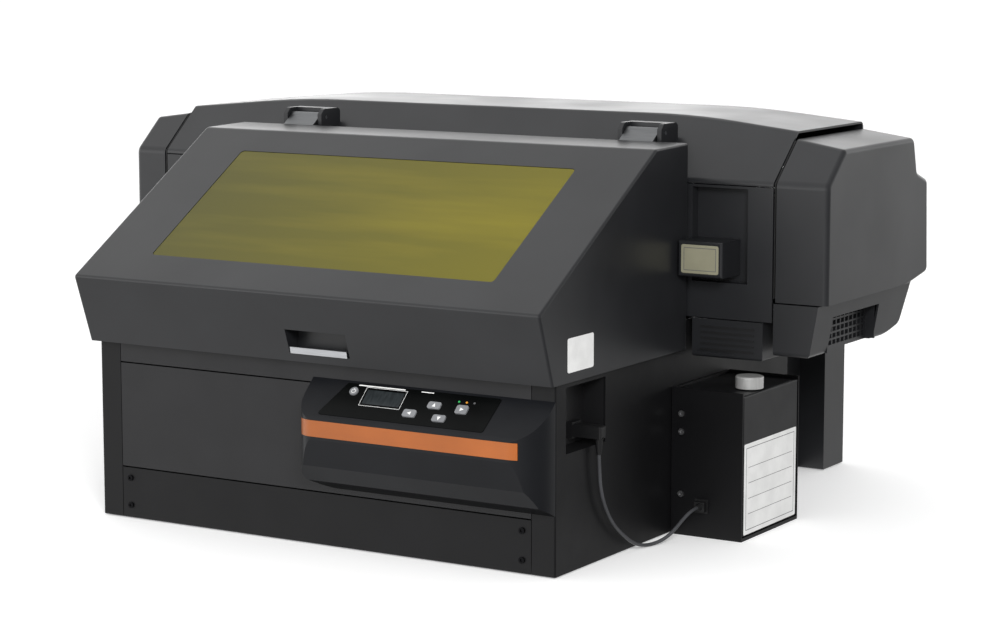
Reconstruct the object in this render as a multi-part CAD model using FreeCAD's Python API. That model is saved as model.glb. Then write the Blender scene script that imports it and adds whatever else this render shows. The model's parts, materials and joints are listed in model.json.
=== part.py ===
import FreeCAD, Part
import math
import os

# Flatbed UV printer, free-standing on its feet. Millimetres, +Z up, -Y is the operator's side.
# The origin is under the middle of the printer, on the surface that it stands on.

V = FreeCAD.Vector
X_AXIS = V(1, 0, 0)
Y_AXIS = V(0, 1, 0)
Z_AXIS = V(0, 0, 1)

# Driving dimensions
HALF_WIDTH = 600.0          # gantry, half of the overall width
HALF_BASE = 381.0           # base side covers
HALF_HOOD = 386.0           # hood cheeks
FRONT = -431.0              # front plane of the base
REAR = 479.0                # rear plane of the base
SHEET = 3.0                 # wall of every moulded cover
FLOOR = 2.0                 # lower edge of the covers, above the ground
BASE_TOP = 257.0            # top of the base in front of the gantry
GAP = 2.0                   # visible seam between covers

GANTRY_FRONT = -70.0
GANTRY_BOTTOM = 306.0
GANTRY_FOLD_Z = 500.0       # where the gantry's front face folds into its upper slope
FACE_SLOPE = 0.868          # rise over run of that slope
SEAM = 2.5                  # half of the gap between the top cover and an end cap
RIGHT_SEAM = 519.0
LEFT_SEAM = 541.0
CROWN_Z = 583.0             # top of the gantry's cover, flat in the middle
CROWN_FLAT = 345.0
CROWN_FALL = 0.093          # fall over run at its two ends
CAP_TOP_Z = 546.0           # top of an end cap at its outer face
CAP_FALL = 0.14

HOOD_BOTTOM_Z = 259.0
HOOD_BOTTOM_Y = -447.0
HOOD_FOLD = (-482.0, 357.0)
HOOD_CREST = (-167.0, 548.5)
HOOD_REAR_Y = -73.0
HOOD_REAR_Z = 550.5
WINDOW_HALF = 285.0
WINDOW_S = (60.0, 315.0)    # lower and upper edge, measured up the slope from the fold
HINGE_X = (-284.0, 301.0)
HINGE_Y = -46.0
HINGE_Z = 561.0
PIN_R = 3.0

CONSOLE_X0 = -5.0
CONSOLE_FRONT = -481.0
CONSOLE_BACK_Z = 237.0
CONSOLE_NOSE_Z = 192.0
BAR_Z = (164.0, 187.0)

TABLE_HALF = 285.0
TABLE_Y = (-415.0, -15.0)
TABLE_TOP_Z = 284.0
TABLE_THICK = 22.0
RAIL_X = 200.0
POST_R = 9.0
SCREW_R = 8.0
SCREW_Z = 40.0

CARRIAGE_X = (375.0, 505.0)
CARRIAGE_Z = (310.0, 470.0)
PULLEY_X = 548.0
PULLEY_Y = (-8.0, 2.0)
PULLEY_Z = 491.0
PULLEY_R = 10.0

BOX_X = (383.0, 494.0)
BOX_Y = (-110.4, 70.7)
BOX_TOP = 210.0

RECESS_Y = (-404.0, -298.0)
RECESS_Z = (163.0, 252.0)

CABLE_D = 5.0
# Centre line of the sensor cable, from the plug in the side recess to the plug on the waste box
CABLE_ROUTE = [
    (391.0, -333.0, 152.0), (391.4, -332.0, 129.0), (390.8, -327.0, 101.0), (391.5, -314.0, 73.0),
    (391.0, -292.0, 48.0), (392.2, -264.0, 27.0), (393.0, -235.0, 10.5), (395.5, -209.0, 3.4),
    (402.0, -188.0, 3.9), (410.5, -174.0, 10.0), (418.5, -165.5, 20.5), (425.0, -158.5, 31.5),
    (430.0, -149.0, 40.5), (432.4, -138.0, 44.6), (432.5, -127.5, 45.3),
]


def save(name, *shapes):
    solids = [solid for shape in shapes for solid in shape.Solids]
    shape = solids[0] if len(solids) == 1 else Part.makeCompound(solids)
    shape.exportStep("parts/%s.step" % name)


def box(x, y, z):
    return Part.makeBox(x[1] - x[0], y[1] - y[0], z[1] - z[0], V(x[0], y[0], z[0]))


def cylinder(radius, start, length, axis):
    return Part.makeCylinder(radius, length, V(*start), axis)


def round_wire(points, radius):
    """Closed wire through 3-D points in one plane; radius is one number or one for each corner."""
    radii = radius if isinstance(radius, list) else [radius] * len(points)
    corners = []
    for i, point in enumerate(points):
        to_last = points[i - 1].sub(point)
        to_next = points[(i + 1) % len(points)].sub(point)
        half = to_last.getAngle(to_next) / 2.0
        reach = radii[i] / math.tan(half) if radii[i] else 0.0
        to_last.normalize()
        to_next.normalize()
        start = point.add(to_last * reach)
        end = point.add(to_next * reach)
        middle_way = to_last.add(to_next)
        if radii[i]:
            middle_way.normalize()
            middle = point.add(middle_way * (radii[i] / math.sin(half) - radii[i]))
            corners.append((start, middle, end))
        else:
            corners.append((point, None, point))
    edges = []
    for i, (start, middle, end) in enumerate(corners):
        if middle:
            edges.append(Part.Arc(start, middle, end).toShape())
        following = corners[(i + 1) % len(corners)][0]
        if end.distanceToPoint(following) > 1e-4:
            edges.append(Part.LineSegment(end, following).toShape())
    return Part.Wire(edges)


def prism(points, radius, direction):
    return Part.Face(round_wire(points, radius)).extrude(direction)


def prism_x(outline, x, radius=0):
    """Solid with an outline of (y, z) points, from x[0] to x[1]."""
    return prism([V(x[0], y, z) for y, z in outline], radius, V(x[1] - x[0], 0, 0))


def prism_y(outline, y, radius=0):
    """Solid with an outline of (x, z) points, from y[0] to y[1]."""
    return prism([V(x, y[0], z) for x, z in outline], radius, V(0, y[1] - y[0], 0))


def prism_z(outline, z, radius=0):
    """Solid with an outline of (x, y) points, from z[0] to z[1]."""
    return prism([V(x, y, z[0]) for x, y in outline], radius, V(0, 0, z[1] - z[0]))


def inset(outline, walls):
    """Outline whose edge i, from point i to the next, is moved inwards by walls[i]."""
    count = len(outline)
    area = sum(outline[i - 1][0] * outline[i][1] - outline[i][0] * outline[i - 1][1] for i in range(count))
    turn = 1.0 if area > 0 else -1.0
    lines = []
    for i in range(count):
        ax, ay = outline[i]
        bx, by = outline[(i + 1) % count]
        length = math.hypot(bx - ax, by - ay)
        dx, dy = (bx - ax) / length, (by - ay) / length
        lines.append((ax - turn * dy * walls[i], ay + turn * dx * walls[i], dx, dy))
    result = []
    for i in range(count):
        px, py, dx, dy = lines[i - 1]
        qx, qy, ex, ey = lines[i]
        along = ((qx - px) * ey - (qy - py) * ex) / (dx * ey - dy * ex)
        result.append((px + dx * along, py + dy * along))
    return result


def mirrored(shape):
    return shape.mirror(V(0, 0, 0), X_AXIS)


def edges_on_x(shape, x):
    """Edges that lie wholly in the plane at x."""
    found = []
    for edge in shape.Edges:
        bounds = edge.BoundBox
        if abs(bounds.XMin - x) < 0.01 and abs(bounds.XMax - x) < 0.01:
            found.append(edge)
    return found


# ---------------------------------------------------------------- base

def base_tray():
    outer = box((-374, 374), (FRONT + 6, REAR - 6), (12, 42))
    inner = box((-371, 371), (FRONT + 9, REAR - 9), (16, 60))
    corner_cut = box((334, 400), (264, 411), (0, 60))
    # the floor is narrower where the base is waisted behind the side covers
    return outer.cut(inner).cut(corner_cut).cut(mirrored(corner_cut))


def feet():
    return [cylinder(22, (x, y, 0), 12, Z_AXIS) for x in (-320, 320) for y in (-390, 240, 440)]


SIDE_COVER_REAR = 269.0
WRAP = 36.0
STRIP_FLANGE = 13.0
GANTRY_SIDE_TOP = 300.0


def side_cover():
    outline = [
        (FRONT, FLOOR), (SIDE_COVER_REAR, FLOOR), (SIDE_COVER_REAR, GANTRY_SIDE_TOP),
        (GANTRY_FRONT + 4, GANTRY_SIDE_TOP), (GANTRY_FRONT + 4, BASE_TOP), (FRONT, BASE_TOP),
    ]
    wall = prism_x(outline, (HALF_BASE - SHEET, HALF_BASE))
    flange_z = (BASE_TOP - SHEET, BASE_TOP)
    flange = box((292, HALF_BASE - 1), (FRONT + STRIP_FLANGE + 1, GANTRY_FRONT + 4), flange_z)
    flange = flange.fuse(box((HALF_BASE - WRAP, HALF_BASE - 1), (FRONT + 1, FRONT + 20), flange_z))
    wrap = box((HALF_BASE - WRAP, HALF_BASE), (FRONT, FRONT + SHEET), (FLOOR, BASE_TOP))
    rear_wrap = box((340, HALF_BASE), (SIDE_COVER_REAR - SHEET, SIDE_COVER_REAR), (FLOOR, GANTRY_SIDE_TOP))
    cover = wall.fuse([flange, wrap, rear_wrap]).removeSplitter()
    outer_corner = [e for e in cover.Edges
                    if abs(e.BoundBox.XMin - HALF_BASE) < 0.01 and abs(e.BoundBox.YMax - FRONT) < 0.01]
    return cover.makeFillet(2.5, outer_corner)


def side_recess_liner():
    y = (RECESS_Y[0] - 3, RECESS_Y[1] + 3)
    outer = box((344, HALF_BASE - SHEET), y, (RECESS_Z[0] - 3, RECESS_Z[1] + 1.5))
    inner = box((347, 400), RECESS_Y, RECESS_Z)
    ports = [box((347, 352), (y0, y0 + 16), (196, 212)) for y0 in (-392, -368)]
    return outer.cut(inner).fuse(ports)


PANEL_HALF = HALF_BASE - WRAP - 1.0
UPPER_SEAM_Z = 229.0
LOWER_SEAM_Z = 76.0


def front_strip(z, flange_depth):
    face = box((-PANEL_HALF, PANEL_HALF), (FRONT, FRONT + SHEET), z)
    flange = box((-PANEL_HALF, PANEL_HALF), (FRONT, FRONT + flange_depth), (z[1] - SHEET, z[1]))
    return face.fuse(flange).removeSplitter()


def rear_cover():
    top = 300.0
    waist = HALF_BASE - 43.0
    side = [(SIDE_COVER_REAR + 2, FLOOR), (REAR, FLOOR), (REAR, top - 22), (REAR - 30, top - 4),
            (SIDE_COVER_REAR + 2, top - 2)]
    hollow = inset(side, [-20, SHEET, SHEET, SHEET, -20])
    block = [(HALF_BASE, 406), (HALF_BASE, REAR), (-HALF_BASE, REAR), (-HALF_BASE, 406), (-waist, 406),
             (-waist, SIDE_COVER_REAR), (waist, SIDE_COVER_REAR), (waist, 406)]
    room = inset(block, [SHEET] * 5 + [-20] + [SHEET] * 2)
    outer = prism_x(side, (-HALF_BASE, HALF_BASE)).common(prism_z(block, (0, top)))
    inner = prism_x(hollow, (-HALF_BASE, HALF_BASE)).common(prism_z(room, (-20, top)))
    deck_z = (top - 5, top - 2)
    deck = box((-waist, waist), (40, SIDE_COVER_REAR + 4), deck_z)
    deck = deck.fuse(box((-HALF_BASE + 4, HALF_BASE - 4), (234, SIDE_COVER_REAR - 4), deck_z))
    shell = outer.cut(inner).fuse(deck).removeSplitter()
    shell = shell.cut(box(INLET_X, (REAR - 10, REAR + 5), INLET_Z))
    shell = shell.cut(box(SWITCH_X, (REAR - 10, REAR + 5), SWITCH_Z))
    slots = [box((120, 280), (REAR - 10, REAR + 5), (z, z + 6)) for z in range(70, 190, 14)]
    return shell.cut(Part.makeCompound(slots))


INLET_X = (-264.0, -230.0)
INLET_Z = (76.0, 102.0)
SWITCH_X = (-212.0, -192.0)
SWITCH_Z = (72.0, 106.0)
SWITCH_MID_Z = (SWITCH_Z[0] + SWITCH_Z[1]) / 2.0
SWITCH_PIVOT_Y = REAR - 8.0
TRUNNION_R = 1.5


def power_inlet():
    shell = box((INLET_X[0] + 0.5, INLET_X[1] - 0.5), (REAR - 30, REAR - 0.5),
                (INLET_Z[0] + 0.5, INLET_Z[1] - 0.5))
    flange = box((INLET_X[0] - 4, INLET_X[1] + 4), (REAR - 6, REAR - SHEET), (INLET_Z[0] - 4, INLET_Z[1] + 4))
    mouth = box((INLET_X[0] + 5, INLET_X[1] - 5), (REAR - 20, REAR + 1), (INLET_Z[0] + 5, INLET_Z[1] - 5))
    pins = [box((x - 1, x + 1), (REAR - 21, REAR - 8), (86, 92)) for x in (-254, -247, -240)]
    frame = box((SWITCH_X[0] - 3, SWITCH_X[1] + 3), (REAR - 20, REAR - SHEET),
                (SWITCH_Z[0] - 3, SWITCH_Z[1] + 3))
    well = box(SWITCH_X, (REAR - 17, REAR), SWITCH_Z)
    bridge = box((INLET_X[1], SWITCH_X[0]), (REAR - 6, REAR - SHEET), (82, 96))
    pivots = cylinder(TRUNNION_R + 0.05, (SWITCH_X[0] - 5, SWITCH_PIVOT_Y, SWITCH_MID_Z), 30, X_AXIS)
    return shell.fuse([flange, frame, bridge]).cut(mouth).cut(well).cut(pivots).fuse(pins).removeSplitter()


def power_switch():
    outline = [(REAR - 14, SWITCH_MID_Z - 11), (REAR - 2, SWITCH_MID_Z - 11.5), (REAR - 4, SWITCH_MID_Z),
               (REAR - 2, SWITCH_MID_Z + 11.5), (REAR - 14, SWITCH_MID_Z + 11)]
    rocker = prism_x(outline, (SWITCH_X[0] + 1.5, SWITCH_X[1] - 1.5))
    return rocker.fuse(cylinder(TRUNNION_R, (SWITCH_X[0] - 2, SWITCH_PIVOT_Y, SWITCH_MID_Z), 24, X_AXIS))


# ---------------------------------------------------------------- operator console

SLOPE_Y = CONSOLE_FRONT + 3.0 - FRONT
SLOPE_Z = CONSOLE_NOSE_Z - CONSOLE_BACK_Z
SLOPE_LENGTH = math.hypot(SLOPE_Y, SLOPE_Z)


def on_console(x, s, lift=0.0):
    """Point on the console's sloped top: s runs forward from its back edge, lift along its normal."""
    dy, dz = SLOPE_Y / SLOPE_LENGTH, SLOPE_Z / SLOPE_LENGTH
    return V(x, FRONT + dy * s + dz * lift, CONSOLE_BACK_Z + dz * s - dy * lift)


CONSOLE_NORMAL = on_console(0, 0, 1).sub(on_console(0, 0, 0))
PANEL_OUTLINE = [(56, 4), (302, 4), (296, 61), (30, 61)]


def console_slab(outline, radius, low, high):
    """Solid with an outline of (x, s) points on the sloped top, between two lifts."""
    points = [on_console(x, s, low) for x, s in outline]
    return prism(points, radius, CONSOLE_NORMAL * (high - low))


CONSOLE_FOOT_Z = 84.0
CONSOLE_PROFILE = [
    (FRONT, CONSOLE_BACK_Z), (CONSOLE_FRONT + 3, CONSOLE_NOSE_Z), (CONSOLE_FRONT, CONSOLE_NOSE_Z - 4),
    (CONSOLE_FRONT, 160), (CONSOLE_FRONT + 6, 122), (CONSOLE_FRONT + 20, 99), (FRONT, CONSOLE_FOOT_Z),
]


def console_plan(grow):
    """Outline of the console from above; grow moves its free edges outwards."""
    x0, x1, front = CONSOLE_X0 - grow, HALF_BASE + grow, CONSOLE_FRONT - grow
    outline = [(x0, FRONT), (x0, front), (x1, front), (x1, FRONT)]
    return outline, [0, 30 + grow, 45 + grow, 0]


CORNER_R = 42.0     # lower left corner of the console, seen from the front


def console_body(grow):
    """The console without its hollow; grow moves its free faces outwards."""
    outline, radii = console_plan(grow)
    walls = [-grow] * 6 + [0]
    profile = prism_x(inset(CONSOLE_PROFILE, walls), (CONSOLE_X0 - 10, HALF_BASE + 10))
    left, foot = CONSOLE_X0 - grow, CONSOLE_FOOT_Z - grow
    front_view = [(left, 260), (left, foot), (HALF_BASE + 20, foot), (HALF_BASE + 20, 260)]
    rounded = prism_y(front_view, (CONSOLE_FRONT - 20, FRONT + 20), [0, CORNER_R + grow, 0, 0])
    return profile.common(prism_z(outline, (60, 260), radii)).common(rounded)


def bar_zone(low, high):
    return box((CONSOLE_X0 - 10, HALF_BASE + 10), (CONSOLE_FRONT - 10, FRONT), (low, high))


def console_housing():
    shell = console_body(0).cut(console_body(-SHEET))
    groove = bar_zone(*BAR_Z).cut(console_body(-1.5)).cut(box((352, 400), (-500, FRONT), BAR_Z))
    shell = shell.cut(groove)
    pocket = console_slab(PANEL_OUTLINE, 4, -2.2, 5)
    well = console_slab(inset(PANEL_OUTLINE, [6] * 4), 2, -8, 5)
    return shell.cut(pocket).cut(well)


def orange_bar():
    ring = bar_zone(BAR_Z[0] + 0.2, BAR_Z[1] - 0.2).common(console_body(0).cut(console_body(-1.4)))
    return ring.cut(box((351, 400), (-500, FRONT), BAR_Z)).cut(box((-20, 20), (FRONT - 8, FRONT), BAR_Z))


# keys: name, x, distance down the slope, shape, half width, half depth
KEYS = [
    ("power_key", 72.0, 18.0, "round", 6.5, 6.5),
    ("left_key", 174.0, 44.0, "oblong", 10.0, 6.0),
    ("up_key", 206.0, 27.0, "oblong", 10.0, 5.5),
    ("down_key", 222.0, 47.0, "oblong", 10.0, 5.5),
    ("right_key", 250.0, 29.0, "oblong", 9.0, 7.0),
]
DISPLAY = [(92, 12), (152, 12), (152, 36), (92, 36)]


def key_slab(key, grow, low, high):
    x, s, shape, half_x, half_s = key[1:]
    if shape == "round":
        start = on_console(x, s, low)
        return Part.makeCylinder(half_x + grow, high - low, start, CONSOLE_NORMAL)
    a, b = half_x + grow, half_s + grow
    return console_slab([(x - a, s - b), (x + a, s - b), (x + a, s + b), (x - a, s + b)], 3 + grow, low, high)


def console_panel():
    slab = console_slab(inset(PANEL_OUTLINE, [0.3] * 4), 4, -2.2, 0.6)
    holes = [key_slab(key, 0.5, -5, 5) for key in KEYS]
    window = console_slab(DISPLAY, 1.5, -1.2, 5)
    return slab.cut(Part.makeCompound(holes)).cut(window)


def console_display():
    return console_slab(inset(DISPLAY, [0.3] * 4), 1.3, -1.2, 0.4)


def console_key(key):
    return key_slab(key, 0, -3.4, 2.4)


# ---------------------------------------------------------------- hood

HOOD_PROFILE = [
    (HOOD_BOTTOM_Y, HOOD_BOTTOM_Z), HOOD_FOLD, HOOD_CREST, (HOOD_REAR_Y, HOOD_REAR_Z),
    (HOOD_REAR_Y, HOOD_BOTTOM_Z),
]
RISE_Y = HOOD_CREST[0] - HOOD_FOLD[0]
RISE_Z = HOOD_CREST[1] - HOOD_FOLD[1]
RISE = math.hypot(RISE_Y, RISE_Z)


def on_hood(x, s, lift=0.0):
    """Point on the hood's slope: s runs up from the fold, lift along the outward normal."""
    dy, dz = RISE_Y / RISE, RISE_Z / RISE
    return V(x, HOOD_FOLD[0] + dy * s - dz * lift, HOOD_FOLD[1] + dz * s + dy * lift)


def hood_slab(half_x, s, radius, low, high):
    outline = [(-half_x, s[0]), (half_x, s[0]), (half_x, s[1]), (-half_x, s[1])]
    normal = on_hood(0, 0, 1).sub(on_hood(0, 0, 0))
    return prism([on_hood(x, t, low) for x, t in outline], radius, normal * (high - low))


RECESS_X = (-30.0, 70.0)
HANDLE_Z = (271.0, 305.0)


def hood_shell():
    outer = prism_x(HOOD_PROFILE, (-HALF_HOOD, HALF_HOOD), [0, 5, 12, 2, 0])
    outer = outer.makeFillet(3.5, edges_on_x(outer, HALF_HOOD)[:4] + edges_on_x(outer, -HALF_HOOD)[:4])
    inner_profile = inset(HOOD_PROFILE, [SHEET, SHEET, SHEET, -20, -20])
    inner = prism_x(inner_profile, (-HALF_HOOD + SHEET, HALF_HOOD - SHEET), [0, 2, 9, 0, 0])
    wall = 2.5
    pocket_wall = box((RECESS_X[0] - wall, RECESS_X[1] + wall), (-480, -431 + wall),
                      (HANDLE_Z[0] - wall, HANDLE_Z[1] + wall))
    pocket = box(RECESS_X, (-490, -431), HANDLE_Z)
    flange = box((-HALF_HOOD + 1, HALF_HOOD - 1), (HOOD_REAR_Y - SHEET, HOOD_REAR_Y), (500, HOOD_REAR_Z - 2))
    shell = outer.cut(inner.cut(pocket_wall)).cut(pocket).fuse(flange)
    shell = shell.cut(hood_slab(WINDOW_HALF, WINDOW_S, 6, -20, 20))
    return shell.removeSplitter()


def hood_window():
    return hood_slab(WINDOW_HALF - 0.4, (WINDOW_S[0] + 0.4, WINDOW_S[1] - 0.4), 5.6, -3.0, -0.6)


def window_seal():
    outer = hood_slab(WINDOW_HALF + 9, (WINDOW_S[0] - 9, WINDOW_S[1] + 9), 10, -6, -3)
    inner = hood_slab(WINDOW_HALF - 7, (WINDOW_S[0] + 7, WINDOW_S[1] - 7), 4, -7, -2)
    return outer.cut(inner)


def hood_handle():
    outline = [(-453.5, 271), (-438, 271), (-438, 273), (-450, 274), (-452, 280), (-455.5, 280)]
    return prism_x(outline, (-27, 67))


def face_z(y):
    """Height of the gantry's upper slope at y."""
    return GANTRY_FOLD_Z + FACE_SLOPE * (y - GANTRY_FRONT)


BRACKET_HALF = 35.0
BRACKET_WALL = 7.0
LEAF_HALF = 27.0


def hinge_leaf(x):
    """Leaf on the hood: a knuckle round the pin and an arm down to the hood's rear edge."""
    knuckle = cylinder(7, (x - LEAF_HALF, HINGE_Y, HINGE_Z), 2 * LEAF_HALF, X_AXIS)
    outline = [(HOOD_REAR_Y, 522), (HOOD_REAR_Y, 549), (HINGE_Y, HINGE_Z + 7), (HINGE_Y, HINGE_Z - 6),
               (HOOD_REAR_Y + 4, 538), (HOOD_REAR_Y + 4, 522)]
    arm = prism_x(outline, (x - LEAF_HALF, x + LEAF_HALF))
    bore = cylinder(PIN_R + 0.05, (x - 40, HINGE_Y, HINGE_Z), 80, X_AXIS)
    return knuckle.fuse(arm).removeSplitter().cut(bore)


def hinge_bracket(x):
    front, rear, top = HINGE_Y - 14, HINGE_Y + 36, HINGE_Z + 13
    outline = [(front, face_z(front)), (rear, face_z(rear)), (rear, top - 4), (rear - 6, top),
               (front + 8, top), (front, top - 8)]
    body = prism_x(outline, (x - BRACKET_HALF, x + BRACKET_HALF), [0, 0, 3, 4, 5, 2])
    half = BRACKET_HALF - BRACKET_WALL
    slot = box((x - half, x + half), (front - 10, HINGE_Y + 10), (480, 620))
    hole = cylinder(PIN_R + 0.03, (x - 60, HINGE_Y, HINGE_Z), 120, X_AXIS)
    return body.cut(slot).cut(hole)


def hinge_pin(x):
    return cylinder(PIN_R, (x - BRACKET_HALF + 0.5, HINGE_Y, HINGE_Z), 2 * BRACKET_HALF - 1, X_AXIS)


# ---------------------------------------------------------------- gantry covers

CROWN_BEND_R = 1500.0
BACK_FOOT = (235.0, 495.0)     # lower end of the top cover's rear face, as (y, z)


def crown(drop):
    """Everything under the top cover's crown, lowered by drop."""
    left, right, top, base = -(LEFT_SEAM - SEAM), RIGHT_SEAM - SEAM, CROWN_Z - drop, 450.0
    outline = [
        (left, base), (right, base), (right, top - CROWN_FALL * (right - CROWN_FLAT)), (CROWN_FLAT, top),
        (-CROWN_FLAT, top), (left, top - CROWN_FALL * (-left - CROWN_FLAT)),
    ]
    return prism_y(outline, (-100, 300), [0, 0, 0, CROWN_BEND_R, CROWN_BEND_R, 0])


def top_cover():
    peak = 640.0
    outline = [
        (GANTRY_FRONT, GANTRY_FOLD_Z - 5), (GANTRY_FRONT, GANTRY_FOLD_Z),
        (GANTRY_FRONT + (peak - GANTRY_FOLD_Z) / FACE_SLOPE, peak), (BACK_FOOT[0] - 13, peak), BACK_FOOT,
    ]
    outer = prism_x(outline, (-600, 600), [0, 8, 0, 0, 0]).common(crown(0))
    ridges = [e for e in outer.Edges if e.BoundBox.XLength > 30 and e.BoundBox.ZMin > 560]
    outer = outer.makeFillet(9, ridges)
    inner = prism_x(inset(outline, [SHEET, SHEET, 0, SHEET, -20]), (-700, 700)).common(crown(SHEET))
    return outer.cut(inner)


CAP_PEAK = 562.0
CAP_PROFILE = [
    (GANTRY_FRONT, 335), (GANTRY_FRONT, GANTRY_FOLD_Z),
    (GANTRY_FRONT + (CAP_PEAK - GANTRY_FOLD_Z) / FACE_SLOPE, CAP_PEAK), (222, CAP_PEAK), (239, 496),
    (278, 482), (285, 345), (226, 335),
]


def under_cap_top(inner_x, drop):
    """Everything under an end cap's top, which falls outwards, lowered by drop."""
    top = CAP_TOP_Z - drop
    outline = [(inner_x - 10, 300), (HALF_WIDTH + 10, 300), (HALF_WIDTH + 10, top - CAP_FALL * 10),
               (inner_x - 10, top + CAP_FALL * (HALF_WIDTH - inner_x + 10))]
    return prism_y(outline, (-200, 400))


def end_cap(inner_x):
    """The right-hand cap; the left-hand one is its mirror image, with its own seam."""
    outer = prism_x(CAP_PROFILE, (inner_x, HALF_WIDTH), [0, 14, 0, 0, 8, 10, 10, 0])
    outer = outer.common(under_cap_top(inner_x, 0))
    ridges = [e for e in outer.Edges if e.BoundBox.ZMin > CAP_TOP_Z - 2 and e.BoundBox.XLength > 40]
    outer = outer.makeFillet(10, ridges)
    rim = [e for e in edges_on_x(outer, HALF_WIDTH) if e.BoundBox.ZMax > 335.5]
    outer = outer.makeFillet(7, rim)
    hollow = prism_x(inset(CAP_PROFILE, [SHEET] * 7 + [-20]), (inner_x - 5, HALF_WIDTH - SHEET),
                     [0, 11, 0, 0, 9, 7, 7, 0])
    return outer.cut(hollow.common(under_cap_top(inner_x, SHEET)))


SKIRT_TOP = 333.0
SKIRT_BOTTOM = 260.0
VENT_Y = (-12.0, 146.0)
VENT_TOP = 312.0
GRILLE_X = (559.0, 561.5)


def skirt(inner_x):
    front, rear = GANTRY_FRONT, 251.0
    section = [(inner_x, SKIRT_BOTTOM), (574, SKIRT_BOTTOM), (587, SKIRT_TOP), (inner_x, SKIRT_TOP)]
    side = [(front, SKIRT_BOTTOM), (178, SKIRT_BOTTOM), (234, SKIRT_BOTTOM + 13), (rear, SKIRT_TOP),
            (front, SKIRT_TOP)]
    outer = prism_y(section, (front, rear), [0, 8, 0, 0]).common(prism_x(side, (400, 700), [6, 12, 14, 0, 0]))
    section_in = inset(section, [SHEET, SHEET, -20, SHEET])
    side_in = inset(side, [SHEET, SHEET, SHEET, -20, SHEET])
    inner = prism_y(section_in, (front + SHEET, rear + 50)).common(prism_x(side_in, (400, 700)))
    vent = box((GRILLE_X[1], 620), VENT_Y, (SKIRT_BOTTOM - 5, VENT_TOP))
    grille = box(GRILLE_X, (VENT_Y[0] - 3, VENT_Y[1] + 3), (SKIRT_BOTTOM + 1, VENT_TOP + 3))
    walls = [box((GRILLE_X[0], 576), (y, y + 2.5), (SKIRT_BOTTOM + 1, VENT_TOP + 3))
             for y in (VENT_Y[0] - 2.5, VENT_Y[1])]
    walls.append(box((GRILLE_X[0], 578), (VENT_Y[0] - 2.5, VENT_Y[1] + 2.5), (VENT_TOP, VENT_TOP + 2.5)))
    shell = outer.cut(inner).cut(vent).fuse([grille] + walls).removeSplitter()
    holes = []
    for row in range(5):
        z = SKIRT_BOTTOM + 6.0 + 9.2 * row
        for column in range(11):
            y = VENT_Y[0] + 4.0 + 14.0 * column
            holes.append(box((550, 570), (y, y + 11), (z, z + 6.5)))
    return shell.cut(Part.makeCompound(holes))


NOOK_X = (391.0, 478.0)
NOOK_Z = (357.0, 490.0)
NOOK_DEPTH = 20.0
BOSS_X = (390.0, 459.0)
BOSS_Z = (368.0, 418.0)
BOSS_FRONT = -110.0


def front_cover(outer_x):
    tub_x0 = NOOK_X[0] - 2
    plate = box((352, outer_x), (GANTRY_FRONT, GANTRY_FRONT + SHEET),
                (GANTRY_BOTTOM, GANTRY_FOLD_Z - 6.5))
    tub = box((tub_x0, NOOK_X[1] + SHEET), (GANTRY_FRONT, GANTRY_FRONT + NOOK_DEPTH - 0.5),
              (NOOK_Z[0] - SHEET, NOOK_Z[1] + SHEET))
    nook_back = GANTRY_FRONT + NOOK_DEPTH - 0.5 - SHEET
    nook = box((NOOK_X[0] + 1, NOOK_X[1]), (GANTRY_FRONT - 5, nook_back), NOOK_Z)
    boss = box(BOSS_X, (BOSS_FRONT, GANTRY_FRONT + NOOK_DEPTH - 1), BOSS_Z)
    boss = boss.makeFillet(3, [e for e in boss.Edges if e.BoundBox.YMax < BOSS_FRONT + 1])
    return plate.fuse(tub).cut(nook).fuse(boss).removeSplitter()


def gantry_rear_cover():
    x = (-(LEFT_SEAM - SEAM), RIGHT_SEAM - SEAM)
    outline = [(236.5, 492), (278, 482), (285, 345), (208, 326)]
    outer = prism_x(outline, x, [0, 10, 10, 0])
    room_x = (x[0] + SHEET, x[1] - SHEET)
    inner = prism_x(inset(outline, [SHEET, SHEET, SHEET, -30]), room_x, [0, 7, 7, 0])
    slots = [box((x0, x0 + 40), (270, 310), (z, z + 7))
             for x0 in range(-460, -180, 52) for z in (380, 396, 412)]
    return outer.cut(inner).cut(Part.makeCompound(slots))


TRAY_X = (393.0, 503.0)
TRAY_Z = (250.0, 304.5)


def lower_tray():
    """Open tray under the gantry beside the base."""
    outer = box(TRAY_X, (GANTRY_FRONT, 205), TRAY_Z)
    outer = outer.makeFillet(4, [e for e in outer.Edges if e.BoundBox.ZMax < TRAY_Z[0] + 1])
    inner = box((TRAY_X[0] + SHEET, TRAY_X[1] - SHEET), (GANTRY_FRONT + SHEET, 202), (TRAY_Z[0] + SHEET, 320))
    slot = box((TRAY_X[0] + 8, TRAY_X[0] + 66), (GANTRY_FRONT - 5, GANTRY_FRONT + 1.2), (256, 259))
    return outer.cut(inner).cut(slot)


# ---------------------------------------------------------------- inside the gantry

def gantry_frame():
    foot = box((352, 370), (30, 230), (16, 24))
    plate = prism_x([(60, 24), (200, 24), (170, 394), (50, 394)], (354, 366))
    return foot.fuse(plate).removeSplitter()


def gantry_beam():
    y, z = (48, 108), (395, 475)
    outer = box((-588, 588), y, z)
    inner = box((-600, 600), (y[0] + 4, y[1] - 4), (z[0] + 4, z[1] - 4))
    return outer.cut(inner)


def carriage_rail():
    return box((-560, 560), (35.5, 47.9), (425, 440))


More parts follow.
